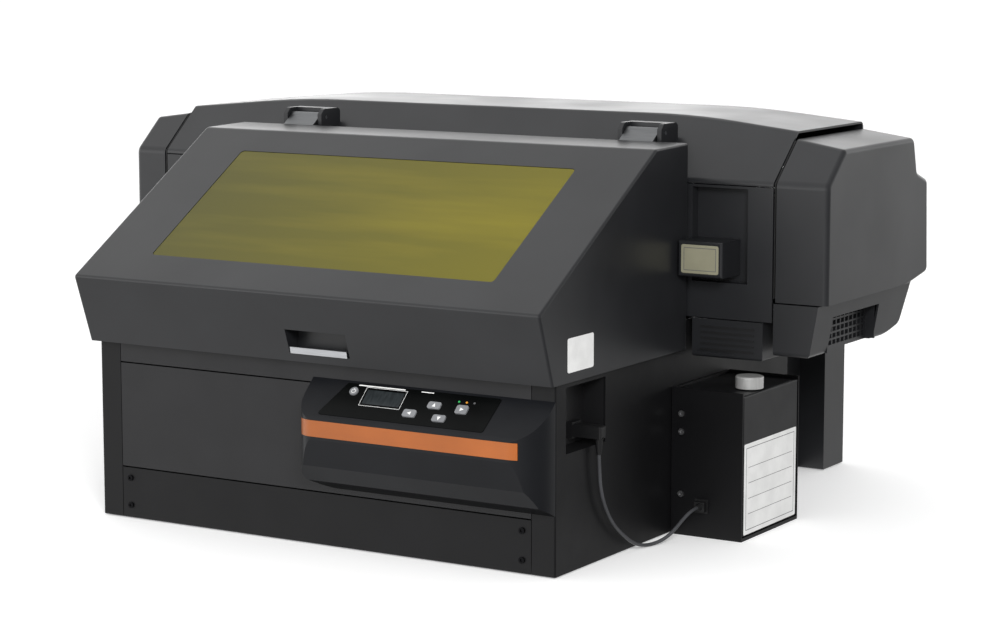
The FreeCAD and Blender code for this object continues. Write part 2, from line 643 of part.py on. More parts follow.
def carriage_belt():
    inner = PULLEY_R + 0.4
    outer = inner + 1.6
    loops = []
    for radius in (outer, inner):
        slab = box((-PULLEY_X, PULLEY_X), PULLEY_Y, (PULLEY_Z - radius, PULLEY_Z + radius))
        ends = [cylinder(radius, (x, PULLEY_Y[0], PULLEY_Z), PULLEY_Y[1] - PULLEY_Y[0], Y_AXIS)
                for x in (-PULLEY_X, PULLEY_X)]
        loops.append(slab.fuse(ends).removeSplitter())
    return loops[0].cut(loops[1])


def belt_pulley(x):
    wheel = cylinder(PULLEY_R, (x, PULLEY_Y[0] + 0.5, PULLEY_Z), 9, Y_AXIS)
    flange = cylinder(PULLEY_R + 3, (x, PULLEY_Y[0] - 1.5, PULLEY_Z), 1, Y_AXIS)
    hub = cylinder(5, (x, PULLEY_Y[0] - 1, PULLEY_Z), 3, Y_AXIS)
    bore = cylinder(3.05, (x, PULLEY_Y[0] - 5, PULLEY_Z), 30, Y_AXIS)
    return wheel.fuse([flange, hub]).removeSplitter().cut(bore)


def motor(x, y, z, half, length, shaft):
    """Square motor whose shaft points to -Y from the plane at y."""
    body = box((x - half, x + half), (y, y + length), (z - half, z + half))
    body = body.makeFillet(4, [e for e in body.Edges if e.BoundBox.YLength > length - 1])
    return body.fuse(cylinder(3, (x, y - shaft, z), shaft, Y_AXIS))


def drive_motors():
    carriage = motor(PULLEY_X, 4.0, PULLEY_Z, 18.0, 40.0, 12.0)
    table = motor(0.0, SCREW_REAR + 8, SCREW_Z, 22.0, 34.0, 14.0)
    return [carriage, table]


def print_carriage():
    x, z = CARRIAGE_X, CARRIAGE_Z
    body = prism_y([(x[0], z[0] + 8), (x[1], z[0] + 8), (x[1], z[1]), (x[0], z[1])], (-46, 34.5), 6)
    heads = [box((x[0] + a, x[0] + a + 36), (-30, 12), (z[0], z[0] + 10)) for a in (24, 72)]
    shoe = box((x[0] + 20, x[1] - 20), (30, 34.9), (418, 447))
    clamp = box((430, 450), (-12, 6), (z[1] - 2, z[1] + 7))
    return body.fuse(heads + [shoe, clamp]).removeSplitter()


def uv_lamps():
    return [box((x, x + 14), (-40, 20), (318, 410)) for x in (CARRIAGE_X[0] - 14, CARRIAGE_X[1])]


def cap_unit():
    x = CARRIAGE_X
    body = box((x[0] + 24, x[1] - 6), (-40, 22), (274, 300))
    lips = []
    for a in (26, 74):
        outer = box((x[0] + a, x[0] + a + 32), (-28, 10), (300, 308.4))
        lips.append(outer.cut(box((x[0] + a + 3, x[0] + a + 29), (-25, 7), (303, 320))))
    return body.fuse(lips).removeSplitter()


def ink_cartridges():
    return [box((-497 + 16.6 * i, -483.5 + 16.6 * i), (-60, 60), (254, 296)) for i in range(6)]


# ---------------------------------------------------------------- table

SCREW_REAR = 424.0


def table_rails():
    rails = []
    for x in (-RAIL_X, RAIL_X):
        foot = box((x - 14, x + 14), (FRONT + 14, 466), (16, 20))
        rail = box((x - 8, x + 8), (FRONT + 14, 466), (20, 58))
        rails.append(foot.fuse(rail).removeSplitter())
    return rails


def table_screw():
    thread = cylinder(SCREW_R, (0, -400, SCREW_Z), SCREW_REAR + 400, Y_AXIS)
    flat = box((-3, 3), (-412, -400), (SCREW_Z - 3, SCREW_Z + 3))
    return thread.fuse(flat).cut(cylinder(3.05, (0, SCREW_REAR - 10, SCREW_Z), 20, Y_AXIS))


POSTS = [(x, y) for x in (-150.0, 150.0) for y in (-350.0, -80.0)]


def table_carriage():
    plate = box((-230, 230), (-400, -30), (92, 102))
    blocks = []
    for x in (-RAIL_X, RAIL_X):
        for y in (-390, -100):
            block = box((x - 20, x + 20), (y, y + 60), (30, 92))
            blocks.append(block.cut(box((x - 8.4, x + 8.4), (y - 1, y + 61), (0, 58.4))))
    sleeves = [cylinder(16, (x, y, 102), 50, Z_AXIS) for x, y in POSTS]
    nut = box((-24, 24), (-240, -190), (22, 92))
    frame = plate.fuse(blocks + sleeves + [nut]).removeSplitter()
    bores = [cylinder(POST_R + 0.06, (x, y, 60), 120, Z_AXIS) for x, y in POSTS]
    bores.append(cylinder(SCREW_R + 0.08, (0, -300, SCREW_Z), 200, Y_AXIS))
    return frame.cut(Part.makeCompound(bores))


def table_top():
    z0 = TABLE_TOP_Z - TABLE_THICK
    plate = box((-TABLE_HALF, TABLE_HALF), TABLE_Y, (z0, TABLE_TOP_Z))
    plate = plate.makeFillet(5, [e for e in plate.Edges if e.BoundBox.ZLength > 10])
    posts = [cylinder(POST_R, (x, y, z0 - 130), 131, Z_AXIS) for x, y in POSTS]
    return plate.fuse(posts).removeSplitter()


# ---------------------------------------------------------------- electronics

def power_supply():
    body = box((-362, -262), (-380, -190), (20, 62))
    slots = [box((-350, -274), (y, y + 5), (55, 70)) for y in range(-370, -205, 12)]
    return body.cut(Part.makeCompound(slots))


def control_board():
    board = box((252, 340), (-260, -60), (30, 32))
    chips = [box((x, x + 18), (y, y + 18), (32, 35)) for x in (262, 300) for y in (-240, -190, -140)]
    standoffs = [cylinder(4, (x, y, 16), 14, Z_AXIS) for x in (262, 330) for y in (-250, -70)]
    return board.fuse(chips + standoffs)


# ---------------------------------------------------------------- waste box and cable

CAP_X = 472.0
CAP_Y = -46.0
CAP_R = 20.0
NECK_R = 15.0


def waste_holder():
    outer = box(BOX_X, BOX_Y, (0, BOX_TOP))
    inner = box((BOX_X[0] + 2, 520), (BOX_Y[0] + 2, BOX_Y[1] - 2), (5, 240))
    return outer.cut(inner)


def waste_tank():
    body = box((BOX_X[0] + 3, BOX_X[1] - 0.5), (BOX_Y[0] + 3, BOX_Y[1] - 3), (5.5, 206))
    body = body.makeFillet(3, [e for e in body.Edges if e.BoundBox.XMin > BOX_X[1] - 1])
    return body.fuse(cylinder(NECK_R, (CAP_X, CAP_Y, 204), 14, Z_AXIS))


def waste_cap():
    outer = cylinder(CAP_R, (CAP_X, CAP_Y, 208), 17, Z_AXIS)
    outer = outer.makeFillet(2.5, [e for e in outer.Edges if e.BoundBox.ZMin > 224])
    return outer.cut(cylinder(NECK_R + 0.06, (CAP_X, CAP_Y, 200), 20, Z_AXIS))


def cable_sockets():
    side = box((347, 356), (-345, -321), (172, 194))
    front = box((422, 442), (BOX_Y[0] - 2, BOX_Y[0]), (35, 55))
    return [side, front]


def cable_plugs():
    x, y, z = CABLE_ROUTE[0]
    elbow = box((356, x + 7), (y - 8, y + 8), (174, 191))
    elbow = elbow.makeFillet(3, [e for e in elbow.Edges if e.BoundBox.XMin > x + 6])
    boot = Part.makeCone(3.4, 6.0, 174 - z, V(x, y, z), Z_AXIS)
    fx, fy, fz = CABLE_ROUTE[-1]
    body_y = BOX_Y[0] - 2
    straight = box((fx - 8, fx + 8), (body_y - 8, body_y), (fz - 7, fz + 7))
    front_boot = Part.makeCone(3.4, 5.6, body_y - 8 - fy, V(fx, fy, fz), Y_AXIS)
    return [elbow.fuse(boot), straight.fuse(front_boot)]


def cable():
    points = [V(*p) for p in CABLE_ROUTE]
    edges = []
    here = points[0]
    for i in range(1, len(points) - 1):
        back = points[i - 1].sub(points[i])
        ahead = points[i + 1].sub(points[i])
        run = min(back.Length, ahead.Length)
        half_turn = (math.pi - back.getAngle(ahead)) / 2.0
        radius = 0.45 * run / math.tan(half_turn)
        print("cable bend %d: radius %.1f mm, turn %.0f deg" % (i, radius, math.degrees(2 * half_turn)))
        back.normalize()
        ahead.normalize()
        start = points[i].add(back * (0.45 * run))
        end = points[i].add(ahead * (0.45 * run))
        middle_way = back.add(ahead)
        middle_way.normalize()
        middle = points[i].add(middle_way * (radius / math.cos(half_turn) - radius))
        edges.append(Part.LineSegment(here, start).toShape())
        edges.append(Part.Arc(start, middle, end).toShape())
        here = end
    edges.append(Part.LineSegment(here, points[-1]).toShape())
    path = Part.Wire(edges)
    length = path.Length
    circle = Part.Circle(points[0], points[1].sub(points[0]), CABLE_D / 2.0)
    tube_solid = path.makePipeShell([Part.Wire([circle.toShape()])], True, False)
    section = math.pi * CABLE_D ** 2 / 4.0
    print("cable length %.1f mm" % length)
    print("cable volume %.0f, section times length %.0f" % (tube_solid.Volume, section * length))
    return tube_solid


def cover_screws():
    spots = []
    for z in (59, 148, 174):
        spots.append(((399, BOX_Y[0], z), V(0, -1, 0)))
    for x in (-330, 330):
        for z in (20, 60):
            spots.append(((x, FRONT, z), V(0, -1, 0)))
    for x in (-360, -120, 120, 360):
        spots.append(((x, REAR, 30), V(0, 1, 0)))
        spots.append(((x, REAR, 250), V(0, 1, 0)))
    screws = []
    for start, axis in spots:
        head = Part.makeCylinder(4.5, 2.0, V(*start), axis)
        socket = Part.makeCylinder(2.0, 2.0, V(*start).add(axis * 0.8), axis)
        screws.append(head.cut(socket))
    return screws


def main():
    os.makedirs("parts", exist_ok=True)

    right_cover = side_cover()
    recess = box((HALF_BASE - SHEET - 1, HALF_BASE + 1), RECESS_Y, RECESS_Z)
    save("base_tray", base_tray())
    save("feet", *feet())
    save("right_side_cover", right_cover.cut(recess))
    save("left_side_cover", mirrored(right_cover))
    save("side_recess_liner", side_recess_liner())
    save("front_upper_strip", front_strip((UPPER_SEAM_Z + GAP / 2, BASE_TOP), STRIP_FLANGE))
    save("front_panel", front_strip((LOWER_SEAM_Z + GAP / 2, UPPER_SEAM_Z - GAP / 2), 10))
    save("front_lower_panel", front_strip((FLOOR, LOWER_SEAM_Z - GAP / 2), 10))
    save("rear_cover", rear_cover())
    save("power_inlet", power_inlet())
    save("power_switch", power_switch())

    save("console_housing", console_housing())
    save("orange_bar", orange_bar())
    save("console_panel", console_panel())
    save("console_display", console_display())
    for key in KEYS:
        save(key[0], console_key(key))

    save("hood_shell", hood_shell())
    save("hood_window", hood_window())
    save("window_seal", window_seal())
    save("hood_handle", hood_handle())
    save("hinge_leaves", *[hinge_leaf(x) for x in HINGE_X])
    save("hinge_brackets", *[hinge_bracket(x) for x in HINGE_X])
    save("hinge_pins", *[hinge_pin(x) for x in HINGE_X])

    save("top_cover", top_cover())
    save("right_end_cap", end_cap(RIGHT_SEAM + SEAM))
    save("left_end_cap", mirrored(end_cap(LEFT_SEAM + SEAM)))
    save("right_skirt", skirt(RIGHT_SEAM))
    save("left_skirt", mirrored(skirt(LEFT_SEAM)))
    save("gantry_front_covers", front_cover(RIGHT_SEAM - SEAM), mirrored(front_cover(LEFT_SEAM - SEAM)))
    save("gantry_rear_cover", gantry_rear_cover())
    save("maintenance_tray", lower_tray())
    save("ink_bay", mirrored(lower_tray()))

    save("gantry_frames", gantry_frame(), mirrored(gantry_frame()))
    save("gantry_beam", gantry_beam())
    save("carriage_rail", carriage_rail())
    save("carriage_belt", carriage_belt())
    save("drive_pulley", belt_pulley(PULLEY_X))
    save("idler_pulley", belt_pulley(-PULLEY_X))
    save("drive_motors", *drive_motors())
    save("print_carriage", print_carriage())
    save("uv_lamps", *uv_lamps())
    save("cap_unit", cap_unit())
    save("ink_cartridges", *ink_cartridges())

    save("table_rails", *table_rails())
    save("table_screw", table_screw())
    save("table_carriage", table_carriage())
    save("table_top", table_top())
    save("power_supply", power_supply())
    save("control_board", control_board())

    save("waste_holder", waste_holder())
    save("waste_tank", waste_tank())
    save("waste_cap", waste_cap())
    save("cable_sockets", *cable_sockets())
    save("cable_plugs", *cable_plugs())
    save("sensor_cable", cable())
    save("cover_screws", *cover_screws())


main()
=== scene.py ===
import json
import math

import bmesh
import bpy
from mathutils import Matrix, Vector


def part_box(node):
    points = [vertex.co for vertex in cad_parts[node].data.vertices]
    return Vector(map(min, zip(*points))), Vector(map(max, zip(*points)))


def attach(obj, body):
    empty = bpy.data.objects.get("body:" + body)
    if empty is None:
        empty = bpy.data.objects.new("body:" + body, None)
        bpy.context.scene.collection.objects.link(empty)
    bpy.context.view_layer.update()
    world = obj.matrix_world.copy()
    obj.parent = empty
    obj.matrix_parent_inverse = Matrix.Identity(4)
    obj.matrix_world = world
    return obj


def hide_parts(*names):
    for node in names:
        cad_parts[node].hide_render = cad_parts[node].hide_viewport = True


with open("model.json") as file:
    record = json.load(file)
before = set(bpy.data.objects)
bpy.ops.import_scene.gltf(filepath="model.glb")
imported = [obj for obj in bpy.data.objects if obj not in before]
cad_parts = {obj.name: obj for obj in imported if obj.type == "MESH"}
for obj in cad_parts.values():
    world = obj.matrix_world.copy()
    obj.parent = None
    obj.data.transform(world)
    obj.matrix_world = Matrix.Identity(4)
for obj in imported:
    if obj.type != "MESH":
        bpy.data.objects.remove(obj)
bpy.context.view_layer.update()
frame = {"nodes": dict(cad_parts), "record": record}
nodes = frame["nodes"]
MM = 0.001


# ---------------------------------------------------------------- camera, light and floor

LENS_MM = 98.65
SENSOR_MM = 36.0
CAMERA_PLACE = (2.154, -3.473, 0.8655)
CAMERA_AZIMUTH = math.radians(31.417)
CAMERA_PITCH = math.radians(8.164)
CAMERA_REACH = 50.0

# brightness of the white dome by height: straight down is 0, the horizon 0.5, straight up 1
DOME_LEVELS = [(0.0, 0.7), (0.43, 0.7), (0.5, 1.9), (0.58, 2.1), (0.7, 0.95), (0.9, 0.78)]
DOME_LEFT, DOME_RIGHT = 1.6, 0.25
DOME_FRONT, DOME_BACK = 0.85, 1.15

SOFTBOX_PLACE = (3.0, -3.6, 2.2)
SOFTBOX_AIM = (0.0, -0.1, 0.3)
SOFTBOX_SIZE = (1.2, 1.2)
SOFTBOX_WATTS = 195.0

FLOOR_HALF = 30.0
FLOOR_GLOW = 0.22


def add_camera():
    data = bpy.data.cameras.new("camera")
    data.lens = LENS_MM
    data.sensor_width = SENSOR_MM
    data.clip_end = CAMERA_REACH
    camera = bpy.data.objects.new("camera", data)
    camera.location = CAMERA_PLACE
    camera.rotation_euler = (math.pi / 2 - CAMERA_PITCH, 0.0, CAMERA_AZIMUTH)
    bpy.context.scene.collection.objects.link(camera)
    bpy.context.scene.camera = camera


def add_softbox():
    """One soft light from the front right, left out of reflections."""
    data = bpy.data.lights.new("front_right_softbox", "AREA")
    data.shape = "RECTANGLE"
    data.size, data.size_y = SOFTBOX_SIZE
    data.energy = SOFTBOX_WATTS
    light = bpy.data.objects.new("front_right_softbox", data)
    light.location = SOFTBOX_PLACE
    aim = Vector(SOFTBOX_AIM) - Vector(SOFTBOX_PLACE)
    light.rotation_euler = aim.to_track_quat("-Z", "Y").to_euler()
    light.visible_glossy = False
    bpy.context.scene.collection.objects.link(light)


def add_dome(tree):
    """White dome, brightest just above the horizon and brighter on the left than on the right."""
    direction = tree.nodes.new("ShaderNodeTexCoord")
    parts = tree.nodes.new("ShaderNodeSeparateXYZ")
    tree.links.new(direction.outputs["Generated"], parts.inputs["Vector"])

    def span(axis, low, high):
        node = tree.nodes.new("ShaderNodeMapRange")
        node.inputs["From Min"].default_value = -1.0
        node.inputs["To Min"].default_value = low
        node.inputs["To Max"].default_value = high
        tree.links.new(parts.outputs[axis], node.inputs["Value"])
        return node.outputs["Result"]

    def times(first, second):
        node = tree.nodes.new("ShaderNodeMath")
        node.operation = "MULTIPLY"
        tree.links.new(first, node.inputs[0])
        tree.links.new(second, node.inputs[1])
        return node.outputs["Value"]

    ramp = tree.nodes.new("ShaderNodeValToRGB")
    brightest = max(level for position, level in DOME_LEVELS)
    while len(ramp.color_ramp.elements) < len(DOME_LEVELS):
        ramp.color_ramp.elements.new(1.0)
    for element, (position, level) in zip(ramp.color_ramp.elements, DOME_LEVELS):
        element.position = position
        element.color = (*[level / brightest] * 3, 1.0)
    tree.links.new(span("Z", 0.0, 1.0), ramp.inputs["Fac"])
    front_to_back = span("Y", DOME_FRONT * brightest, DOME_BACK * brightest)
    across = times(span("X", DOME_LEFT, DOME_RIGHT), front_to_back)
    background = tree.nodes["Background"]
    tree.links.new(ramp.outputs["Color"], background.inputs["Color"])
    tree.links.new(across, background.inputs["Strength"])


def add_studio():
    scene = bpy.context.scene
    scene.view_settings.view_transform = "Standard"
    world = bpy.data.worlds.new("studio")
    scene.world = world
    world.use_nodes = True
    add_dome(world.node_tree)
    add_softbox()


def add_floor():
    """White paper with a slight glow of its own; the printer is neither lit nor mirrored by it."""
    mesh = bpy.data.meshes.new("floor")
    side = FLOOR_HALF
    corners = [(-side, -side, 0), (side, -side, 0), (side, side, 0), (-side, side, 0)]
    mesh.from_pydata(corners, [], [(0, 1, 2, 3)])
    floor = bpy.data.objects.new("floor", mesh)
    bpy.context.scene.collection.objects.link(floor)
    shader = Shader("floor_paper", (0.9, 0.9, 0.9), roughness=0.9)
    shader.mottle(scale=3.0, amount=0.01)
    shader.set("Emission Color", (1.0, 1.0, 1.0, 1.0))
    shader.set("Emission Strength", FLOOR_GLOW)
    mesh.materials.append(shader.material)
    floor.visible_diffuse = False
    floor.visible_glossy = False


# ---------------------------------------------------------------- materials

# the colour sockets of a mix node, which share their names with its number and vector sockets
MIX_COLOUR_A, MIX_COLOUR_B = 6, 7
MIX_COLOUR_RESULT = 2


class Shader:
    """A Principled material whose colour, roughness and relief come from textures in object space."""

    def __init__(self, name, colour, roughness=0.5, metallic=0.0, specular=0.5):
        self.material = bpy.data.materials.new(name)
        self.material.use_nodes = True
        self.tree = self.material.node_tree
        self.principled = self.tree.nodes["Principled BSDF"]
        self.colour = colour
        self.roughness = roughness
        self.set("Base Color", (*colour, 1.0))
        self.set("Roughness", roughness)
        self.set("Metallic", metallic)
        self.set("Specular IOR Level", specular)
        self.place = self.add("ShaderNodeTexCoord").outputs["Object"]
        self.relief = None

    def add(self, kind, **values):
        node = self.tree.nodes.new(kind)
        for key, value in values.items():
            setattr(node, key, value)
        return node

    def link(self, source, target):
        self.tree.links.new(source, target)

    def set(self, socket, value):
        self.principled.inputs[socket].default_value = value

    def stretched(self, scale):
        """Object coordinates scaled along each axis, so that a texture can run in streaks."""
        mapping = self.add("ShaderNodeMapping")
        self.link(self.place, mapping.inputs["Vector"])
        mapping.inputs["Scale"].default_value = scale
        return mapping.outputs["Vector"]

    def noise(self, scale, detail=3.0, stretch=None):
        node = self.add("ShaderNodeTexNoise")
        node.inputs["Scale"].default_value = scale
        node.inputs["Detail"].default_value = detail
        self.link(self.stretched(stretch) if stretch else self.place, node.inputs["Vector"])
        return node.outputs["Fac"]

    def ramp(self, source, low, high, colour_low, colour_high):
        node = self.add("ShaderNodeValToRGB")
        node.color_ramp.elements[0].position = low
        node.color_ramp.elements[1].position = high
        node.color_ramp.elements[0].color = (*colour_low, 1.0)
        node.color_ramp.elements[1].color = (*colour_high, 1.0)
        self.link(source, node.inputs["Fac"])
        return node.outputs["Color"]

    def ramp_between(self, source, low, high, colour_low, colour_high):
        """Colour that changes evenly while source goes from low to high."""
        node = self.add("ShaderNodeMapRange")
        node.inputs["From Min"].default_value = low
        node.inputs["From Max"].default_value = high
        self.link(source, node.inputs["Value"])
        return self.ramp(node.outputs["Result"], 0.0, 1.0, colour_low, colour_high)

    def multiply(self, first, second):
        node = self.add("ShaderNodeMix", data_type="RGBA", blend_type="MULTIPLY")
        node.inputs["Factor"].default_value = 1.0
        self.link(first, node.inputs[MIX_COLOUR_A])
        self.link(second, node.inputs[MIX_COLOUR_B])
        return node.outputs[MIX_COLOUR_RESULT]

    def mottle(self, scale, amount, stretch=None):
        """Lighter and darker patches about the base colour."""
        dark = tuple(c * (1.0 - amount) for c in self.colour)
        light = tuple(min(1.0, c * (1.0 + amount)) for c in self.colour)
        colour = self.ramp(self.noise(scale, 4.0, stretch), 0.35, 0.65, dark, light)
        self.link(colour, self.principled.inputs["Base Color"])
        return self

    def vary_roughness(self, scale, amount, stretch=None):
        """Smoother and rougher patches about the base roughness."""
        node = self.add("ShaderNodeMapRange")
        node.inputs["From Min"].default_value = 0.3
        node.inputs["From Max"].default_value = 0.7
        node.inputs["To Min"].default_value = max(0.02, self.roughness - amount)
        node.inputs["To Max"].default_value = min(1.0, self.roughness + amount)
        self.link(self.noise(scale, 3.0, stretch), node.inputs["Value"])
        self.link(node.outputs["Result"], self.principled.inputs["Roughness"])
        return self

    def grain(self, scale, height_mm, stretch=None, detail=2.0):
        """Fine relief; calls add up."""
        return self.bump_from(self.noise(scale, detail, stretch), height_mm)

    def bump_from(self, height, height_mm):
        """Relief from a texture, laid over the relief that is there already."""
        bump = self.add("ShaderNodeBump")
        bump.inputs["Strength"].default_value = 1.0
        bump.inputs["Distance"].default_value = height_mm * MM
        self.link(height, bump.inputs["Height"])
        if self.relief:
            self.link(self.relief, bump.inputs["Normal"])
        self.relief = bump.outputs["Normal"]
        self.link(self.relief, self.principled.inputs["Normal"])
        return self


def moulded_plastic(name, colour, roughness=0.38, grain_mm=0.012):
    shader = Shader(name, colour, roughness).mottle(9.0, 0.12).vary_roughness(6.0, 0.05)
    return shader.grain(1400.0, grain_mm).grain(4.0, 0.25)


def powder_coat(name, colour, roughness=0.5, specular=0.35):
    shader = Shader(name, colour, roughness, specular=specular).mottle(12.0, 0.12)
    return shader.vary_roughness(14.0, 0.06).grain(900.0, 0.03).grain(5.0, 0.2)


def brushed_metal(name, colour, roughness=0.32, along=(1.0, 60.0, 60.0)):
    """Bare metal with streaks; the first of the three stretches is the one along the streaks."""
    shader = Shader(name, colour, roughness, metallic=1.0).mottle(30.0, 0.1, along)
    return shader.vary_roughness(40.0, 0.08, along).grain(120.0, 0.01, along)


def soft_rubber(name, colour, roughness=0.75):
    shader = Shader(name, colour, roughness).mottle(20.0, 0.2)
    return shader.vary_roughness(30.0, 0.08).grain(700.0, 0.03)


def gloss_black():
    shader = Shader("gloss_black", (0.0025, 0.0028, 0.0028), 0.22, specular=0.08)
    return shader.mottle(20.0, 0.2).vary_roughness(9.0, 0.03).grain(40.0, 0.01)


def display_glass():
    shader = Shader("display_glass", (0.02, 0.024, 0.026), 0.15, specular=0.2)
    return shader.mottle(300.0, 0.25, (1.0, 0.2, 0.2)).vary_roughness(8.0, 0.03).grain(60.0, 0.004)


def zinc_sheet():
    shader = Shader("zinc_sheet", (0.24, 0.25, 0.26), 0.42, metallic=0.85).mottle(26.0, 0.2)
    return shader.vary_roughness(20.0, 0.1).grain(300.0, 0.01)


def cap_metal():
    upright = (8.0, 8.0, 1.0)
    shader = Shader("cap_metal", (0.5, 0.5, 0.49), 0.4, metallic=0.45).mottle(30.0, 0.08, upright)
    return shader.vary_roughness(40.0, 0.08, upright).grain(120.0, 0.01, upright)


def window_acrylic():
    """Amber sheet with painted highlights: a little lighter to the right, with faint light streaks along its
    length.
    """
    shader = Shader("window_acrylic", (0.15, 0.13, 0.002), 0.2, specular=0.12)
    across = shader.add("ShaderNodeSeparateXYZ")
    shader.link(shader.place, across.inputs["Vector"])
    # painted highlight: the amber grows lighter from left to right across the sheet
    left, right = (0.098, 0.09, 0.004), (0.17, 0.148, 0.002)
    base = shader.ramp_between(across.outputs["X"], -0.3, 0.25, left, right)
    # painted highlight: stretched noise lifts the colour into pale bluish-white streaks
    streaks = shader.noise(5.0, 4.0, (0.5, 5.0, 5.0))
    light = shader.ramp(streaks, 0.45, 0.72, (1.0, 1.0, 1.0), (1.4, 1.35, 2.0))
    shader.link(shader.multiply(base, light), shader.principled.inputs["Base Color"])
    shader.vary_roughness(5.0, 0.05, (0.5, 4.0, 4.0))
    shader.grain(3.0, 0.3)
    shader.set("Transmission Weight", 0.3)
    return shader


def paper(name, colour):
    """Smooth printed or moulded surface of one colour, for labels, marks and lamps."""
    shader = Shader(name, colour, 0.45)
    return shader.mottle(40.0, 0.05).vary_roughness(20.0, 0.05).grain(600.0, 0.01)


def threaded_steel():
    shader = brushed_metal("threaded_steel", (0.5, 0.51, 0.53))
    wave = shader.add("ShaderNodeTexWave", bands_direction="Y")
    shader.link(shader.place, wave.inputs["Vector"])
    wave.inputs["Scale"].default_value = 80.0
    shader.bump_from(wave.outputs["Fac"], 0.8)
    return shader


def screw_steel():
    """Black screws on the front of the base, bright ones elsewhere."""
    black, bright = (0.012, 0.012, 0.013), (0.5, 0.5, 0.51)
    shader = brushed_metal("screw_steel", bright, 0.35)
    along = shader.add("ShaderNodeSeparateXYZ")
    shader.link(shader.place, along.inputs["Vector"])
    colour = shader.ramp_between(along.outputs["Y"], -0.4, -0.3, black, bright)
    shader.link(colour, shader.principled.inputs["Base Color"])
    return shader


def paint(name, material):
    data = nodes[name].data
    data.materials.clear()
    data.materials.append(material)


def build_materials():
    """Paint every CAD node by its material slot, then the few that differ from their slot."""
    finishes = {
        "cover_plastic": moulded_plastic("charcoal_plastic", (0.0125, 0.013, 0.0145), 0.36),
        "base_paint": powder_coat("charcoal_powder_coat", (0.0095, 0.0095, 0.0105), 0.46),
        "console_plastic": powder_coat("console_plastic", (0.0075, 0.008, 0.0095), 0.36, 0.22),
        "accent_orange": moulded_plastic("orange_plastic", (0.34, 0.09, 0.013), 0.36, 0.006),
        "panel_gloss": gloss_black(),
        "display": display_glass(),
        "key_plastic": moulded_plastic("key_plastic", (0.2, 0.205, 0.215), 0.4),
        "window_amber": window_acrylic(),
        "black_rubber": soft_rubber("black_rubber", (0.01, 0.01, 0.01)),
        "silver_metal": brushed_metal("silver_metal", (0.62, 0.63, 0.65), 0.38),
        "steel": brushed_metal("brushed_steel", (0.5, 0.51, 0.53)),
        "grey_metal": zinc_sheet(),
        "black_metal": powder_coat("black_powder_coat", (0.004, 0.004, 0.0045), 0.45, 0.22),
        "black_plastic": moulded_plastic("black_plastic", (0.007, 0.007, 0.0075), 0.5),
        "tank_plastic": powder_coat("tank_plastic", (0.0055, 0.0057, 0.0065), 0.42, 0.25),
        "cap_metal": cap_metal(),
        "cable_jacket": soft_rubber("cable_jacket", (0.045, 0.046, 0.05), 0.5),
        "board_green": moulded_plastic("circuit_board", (0.015, 0.12, 0.04), 0.35),
    }
    for part in frame["record"]["subparts"]:
        paint(part["node"], finishes[part["material_slot"]].material)
    paint("table_screw", threaded_steel().material)
    paint("cover_screws", screw_steel().material)
    # painted shade: the side covers and the lower front panel take a darker copy of the base powder coat,
    # for the shade they lie in
    side_painted_shade = powder_coat("side_powder_coat_painted_shade", (0.0055, 0.0055, 0.006), 0.46, 0.22).material
    for name in ("left_side_cover", "right_side_cover", "front_lower_panel"):
        paint(name, side_painted_shade)
    # painted light: the rear cover takes the lighter cover plastic to brighten it where the gantry shades it
    paint("rear_cover", finishes["cover_plastic"].material)
    paint("hinge_leaves", brushed_metal("hinge_steel", (0.2, 0.205, 0.21), 0.42).material)
    return finishes


# ---------------------------------------------------------------- edges of the sheet and moulded parts

# width of the softened edge, in metres, and the nodes that get it
SOFT_EDGES = {
    0.0012: ["console_housing", "hinge_leaves"],
    0.0006: ["left_side_cover", "right_side_cover", "front_upper_strip", "front_panel",
             "front_lower_panel"],
    0.0008: ["waste_holder", "waste_tank", "maintenance_tray", "ink_bay", "left_skirt", "right_skirt",
             "gantry_front_covers", "hinge_brackets", "print_carriage", "uv_lamps", "power_supply"],
}
SHARPEST_LEFT = math.radians(50)


def soften_edges():
    for width, names in SOFT_EDGES.items():
        for name in names:
            bevel = nodes[name].modifiers.new("soft_edges", "BEVEL")
            bevel.width = width
            bevel.segments = 2
            bevel.limit_method = "ANGLE"
            bevel.angle_limit = SHARPEST_LEFT
            bevel.harden_normals = True


# ---------------------------------------------------------------- plates, labels and marks

def rounded_rectangle(width, height, radius, steps=4):
    """Corner points of a rounded rectangle about the origin, counter-clockwise."""
    points = []
    for corner, (sx, sy) in enumerate(((1, 1), (-1, 1), (-1, -1), (1, -1))):
        cx, cy = sx * (width / 2 - radius), sy * (height / 2 - radius)
        for step in range(steps + 1):
            turn = math.pi / 2 * (corner + step / steps)
            points.append((cx + radius * math.cos(turn), cy + radius * math.sin(turn)))
    return points


def on_circle(radius, turn):
    return radius * math.cos(turn), radius * math.sin(turn)


def disc(radius, steps=24):
    return [on_circle(radius, 2 * math.pi * i / steps) for i in range(steps)]


def ring(outer, inner, first, last, steps=18):
    """A ring, or a part of one, as short four-sided pieces between two angles in degrees."""
    pieces = []
    for i in range(steps):
        a = math.radians(first + (last - first) * i / steps)
        b = math.radians(first + (last - first) * (i + 1) / steps)
        pieces.append([on_circle(inner, a), on_circle(outer, a), on_circle(outer, b), on_circle(inner, b)])
    return pieces


def bar(u0, u1, v0, v1):
    return [(u0, v0), (u1, v0), (u1, v1), (u0, v1)]


def rules(half_width, heights, thick):
    """Level lines of one width and thickness, each standing on its own height."""
    return [bar(-half_width, half_width, v, v + thick) for v in heights]


def border(width, height, line):
    u, v = width / 2, height / 2
    return [bar(-u, u, v - line, v), bar(-u, u, -v, -v + line),
            bar(-u, -u + line, -v + line, v - line), bar(u - line, u, -v + line, v - line)]


